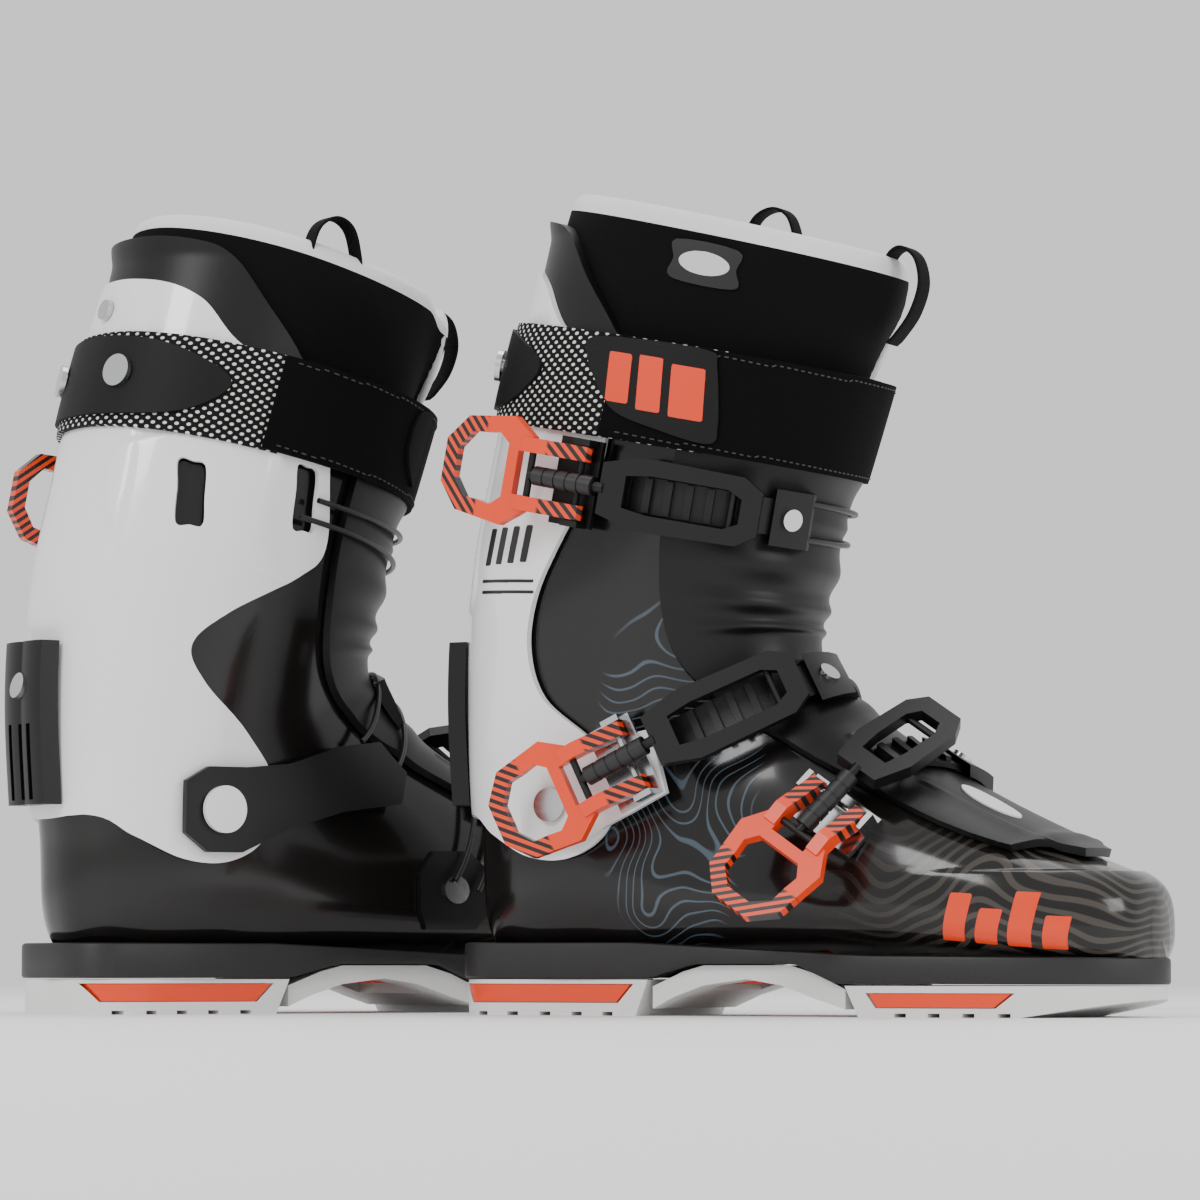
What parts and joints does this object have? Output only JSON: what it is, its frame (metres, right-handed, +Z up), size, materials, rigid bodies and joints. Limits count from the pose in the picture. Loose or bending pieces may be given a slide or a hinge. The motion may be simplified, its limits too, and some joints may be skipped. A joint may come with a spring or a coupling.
{
  "type": "alpine ski boots",
  "caption": "Pair of three-piece alpine ski boots with shell, rear cuff, ribbed tongue, liner, power strap and cable buckles.",
  "frame": {"origin": "on the floor, at the centre of the pair's outline seen from above", "axes": "+Z up; +X the way the pair faces, between the two toes; the right boot is at the -Y side of its heel line and both toes point outwards by 31.5 degrees"},
  "size_m": [0.479, 0.3572, 0.3449],
  "materials": {
    "shell": "smoke-tinted glossy polyurethane",
    "cuff": "white glossy polyurethane",
    "tongue": "black satin polyurethane, ribbed",
    "sole": "white sole plastic",
    "trim": "orange-red sole inserts",
    "board": "dark foot board",
    "liner": "black foam liner with a white fleece rim",
    "hardware_plastic": "black moulded nylon",
    "lever": "orange and black printed lever",
    "steel": "steel plates, pins and screws",
    "cable": "black coated steel cable",
    "barrel": "black knurled adjuster",
    "webbing": "black woven strap with light dots and stitched patches"
  },
  "bodies": {
    "right_shell_body": {"right_lower_shell": "shell", "right_sole_pads": "sole", "right_sole_trim": "trim", "right_boot_board": "board", "right_tongue_instep": "tongue", "right_liner_foot": "liner", "right_instep_arms": "hardware_plastic", "right_racks": "hardware_plastic", "right_cables": "cable", "right_buckle_bases": "steel", "right_shell_fasteners": "steel"},
    "right_cuff_body": {"right_cuff": "cuff", "right_upper_shell": "shell", "right_spoiler": "hardware_plastic", "right_rear_block": "hardware_plastic", "right_tongue_shin": "tongue", "right_liner_cuff": "liner", "right_power_strap": "webbing", "right_upper_rack": "hardware_plastic", "right_upper_cables": "cable", "right_cuff_fasteners": "steel"},
    "right_upper_lever_body": {"right_upper_lever": "lever"},
    "right_upper_frame_body": {"right_upper_frame": "hardware_plastic"},
    "right_upper_adjuster_body": {"right_upper_adjuster": "barrel"},
    "right_instep_lever_body": {"right_instep_lever": "lever"},
    "right_instep_frame_body": {"right_instep_frame": "hardware_plastic"},
    "right_instep_adjuster_body": {"right_instep_adjuster": "barrel"},
    "right_toe_lever_body": {"right_toe_lever": "lever"},
    "right_toe_frame_body": {"right_toe_frame": "hardware_plastic"},
    "right_toe_adjuster_body": {"right_toe_adjuster": "barrel"},
    "left_shell_body": {"left_lower_shell": "shell", "left_sole_pads": "sole", "left_sole_trim": "trim", "left_boot_board": "board", "left_tongue_instep": "tongue", "left_liner_foot": "liner", "left_instep_arms": "hardware_plastic", "left_racks": "hardware_plastic", "left_cables": "cable", "left_buckle_bases": "steel", "left_shell_fasteners": "steel"},
    "left_cuff_body": {"left_cuff": "cuff", "left_upper_shell": "shell", "left_spoiler": "hardware_plastic", "left_rear_block": "hardware_plastic", "left_tongue_shin": "tongue", "left_liner_cuff": "liner", "left_power_strap": "webbing", "left_upper_rack": "hardware_plastic", "left_upper_cables": "cable", "left_cuff_fasteners": "steel"},
    "left_upper_lever_body": {"left_upper_lever": "lever"},
    "left_upper_frame_body": {"left_upper_frame": "hardware_plastic"},
    "left_upper_adjuster_body": {"left_upper_adjuster": "barrel"},
    "left_instep_lever_body": {"left_instep_lever": "lever"},
    "left_instep_frame_body": {"left_instep_frame": "hardware_plastic"},
    "left_instep_adjuster_body": {"left_instep_adjuster": "barrel"},
    "left_toe_lever_body": {"left_toe_lever": "lever"},
    "left_toe_frame_body": {"left_toe_frame": "hardware_plastic"},
    "left_toe_adjuster_body": {"left_toe_adjuster": "barrel"}
  },
  "joints": [
    {"name": "right_cuff_flex", "type": "hinge", "parent": "right_shell_body", "child": "right_cuff_body", "pos_m": [0.02039, -0.03083, 0.086], "axis": [0.5225, 0.8526, 0], "range_deg": [0, 6], "stiffness_Nm_per_rad": 120},
    {"name": "right_upper_lever_hinge", "type": "hinge", "parent": "right_cuff_body", "child": "right_upper_lever_body", "pos_m": [0.00404, -0.09902, 0.21586], "axis": [0.162, -0.1334, 0.9777], "range_deg": [0, 110]},
    {"name": "right_upper_frame_eye", "type": "hinge", "parent": "right_upper_lever_body", "child": "right_upper_frame_body", "pos_m": [-0.01557, -0.09311, 0.21991], "axis": [0.162, -0.1334, 0.9777], "range_deg": [-110, 0]},
    {"name": "right_upper_adjuster_turn", "type": "hinge", "parent": "right_upper_frame_body", "child": "right_upper_adjuster_body", "pos_m": [-0.01557, -0.09311, 0.21991], "axis": [0.8126, -0.5441, -0.2089], "continuous": true},
    {"name": "right_instep_lever_hinge", "type": "hinge", "parent": "right_shell_body", "child": "right_instep_lever_body", "pos_m": [0.02415, -0.10037, 0.10408], "axis": [-0.3863, 0.2084, 0.8985], "range_deg": [0, 110]},
    {"name": "right_instep_frame_eye", "type": "hinge", "parent": "right_instep_lever_body", "child": "right_instep_frame_body", "pos_m": [0.00537, -0.09763, 0.09537], "axis": [-0.3863, 0.2084, 0.8985], "range_deg": [-110, 0]},
    {"name": "right_instep_adjuster_turn", "type": "hinge", "parent": "right_instep_frame_body", "child": "right_instep_adjuster_body", "pos_m": [0.00537, -0.09763, 0.09537], "axis": [0.8026, -0.4041, 0.4388], "continuous": true},
    {"name": "right_toe_lever_hinge", "type": "hinge", "parent": "right_shell_body", "child": "right_toe_lever_body", "pos_m": [0.10475, -0.13789, 0.0851], "axis": [-0.6405, 0.561, 0.5244], "range_deg": [0, 110]},
    {"name": "right_toe_frame_eye", "type": "hinge", "parent": "right_toe_lever_body", "child": "right_toe_frame_body", "pos_m": [0.08902, -0.14474, 0.07321], "axis": [-0.6405, 0.561, 0.5244], "range_deg": [-110, 0]},
    {"name": "right_toe_adjuster_turn", "type": "hinge", "parent": "right_toe_frame_body", "child": "right_toe_adjuster_body", "pos_m": [0.08902, -0.14474, 0.07321], "axis": [0.6795, 0.096, 0.7273], "continuous": true},
    {"name": "left_cuff_flex", "type": "hinge", "parent": "left_shell_body", "child": "left_cuff_body", "pos_m": [-0.16761, 0.03083, 0.086], "axis": [-0.5225, 0.8526, 0], "range_deg": [0, 6], "stiffness_Nm_per_rad": 120},
    {"name": "left_upper_lever_hinge", "type": "hinge", "parent": "left_cuff_body", "child": "left_upper_lever_body", "pos_m": [-0.18396, 0.09902, 0.21586], "axis": [-0.162, -0.1334, -0.9777], "range_deg": [0, 110]},
    {"name": "left_upper_frame_eye", "type": "hinge", "parent": "left_upper_lever_body", "child": "left_upper_frame_body", "pos_m": [-0.20357, 0.09311, 0.21991], "axis": [-0.162, -0.1334, -0.9777], "range_deg": [-110, 0]},
    {"name": "left_upper_adjuster_turn", "type": "hinge", "parent": "left_upper_frame_body", "child": "left_upper_adjuster_body", "pos_m": [-0.20357, 0.09311, 0.21991], "axis": [-0.8126, -0.5441, 0.2089], "continuous": true},
    {"name": "left_instep_lever_hinge", "type": "hinge", "parent": "left_shell_body", "child": "left_instep_lever_body", "pos_m": [-0.16385, 0.10037, 0.10408], "axis": [0.3863, 0.2084, -0.8985], "range_deg": [0, 110]},
    {"name": "left_instep_frame_eye", "type": "hinge", "parent": "left_instep_lever_body", "child": "left_instep_frame_body", "pos_m": [-0.18263, 0.09763, 0.09537], "axis": [0.3863, 0.2084, -0.8985], "range_deg": [-110, 0]},
    {"name": "left_instep_adjuster_turn", "type": "hinge", "parent": "left_instep_frame_body", "child": "left_instep_adjuster_body", "pos_m": [-0.18263, 0.09763, 0.09537], "axis": [-0.8026, -0.4041, -0.4388], "continuous": true},
    {"name": "left_toe_lever_hinge", "type": "hinge", "parent": "left_shell_body", "child": "left_toe_lever_body", "pos_m": [-0.08325, 0.13789, 0.0851], "axis": [0.6405, 0.561, -0.5244], "range_deg": [0, 110]},
    {"name": "left_toe_frame_eye", "type": "hinge", "parent": "left_toe_lever_body", "child": "left_toe_frame_body", "pos_m": [-0.09898, 0.14474, 0.07321], "axis": [0.6405, 0.561, -0.5244], "range_deg": [-110, 0]},
    {"name": "left_toe_adjuster_turn", "type": "hinge", "parent": "left_toe_frame_body", "child": "left_toe_adjuster_body", "pos_m": [-0.09898, 0.14474, 0.07321], "axis": [-0.6795, 0.096, -0.7273], "continuous": true},
    {"name": "left_boot_lift", "type": "slide", "parent": "right_shell_body", "child": "left_shell_body", "axis": [0, 0, 1], "range_m": [0, 0.45]}
  ],
  "couplings": [
    {"joint": "right_upper_frame_eye", "follows": "right_upper_lever_hinge", "ratio": -1},
    {"joint": "right_instep_frame_eye", "follows": "right_instep_lever_hinge", "ratio": -1},
    {"joint": "right_toe_frame_eye", "follows": "right_toe_lever_hinge", "ratio": -1},
    {"joint": "left_upper_frame_eye", "follows": "left_upper_lever_hinge", "ratio": -1},
    {"joint": "left_instep_frame_eye", "follows": "left_instep_lever_hinge", "ratio": -1},
    {"joint": "left_toe_frame_eye", "follows": "left_toe_lever_hinge", "ratio": -1}
  ]
}
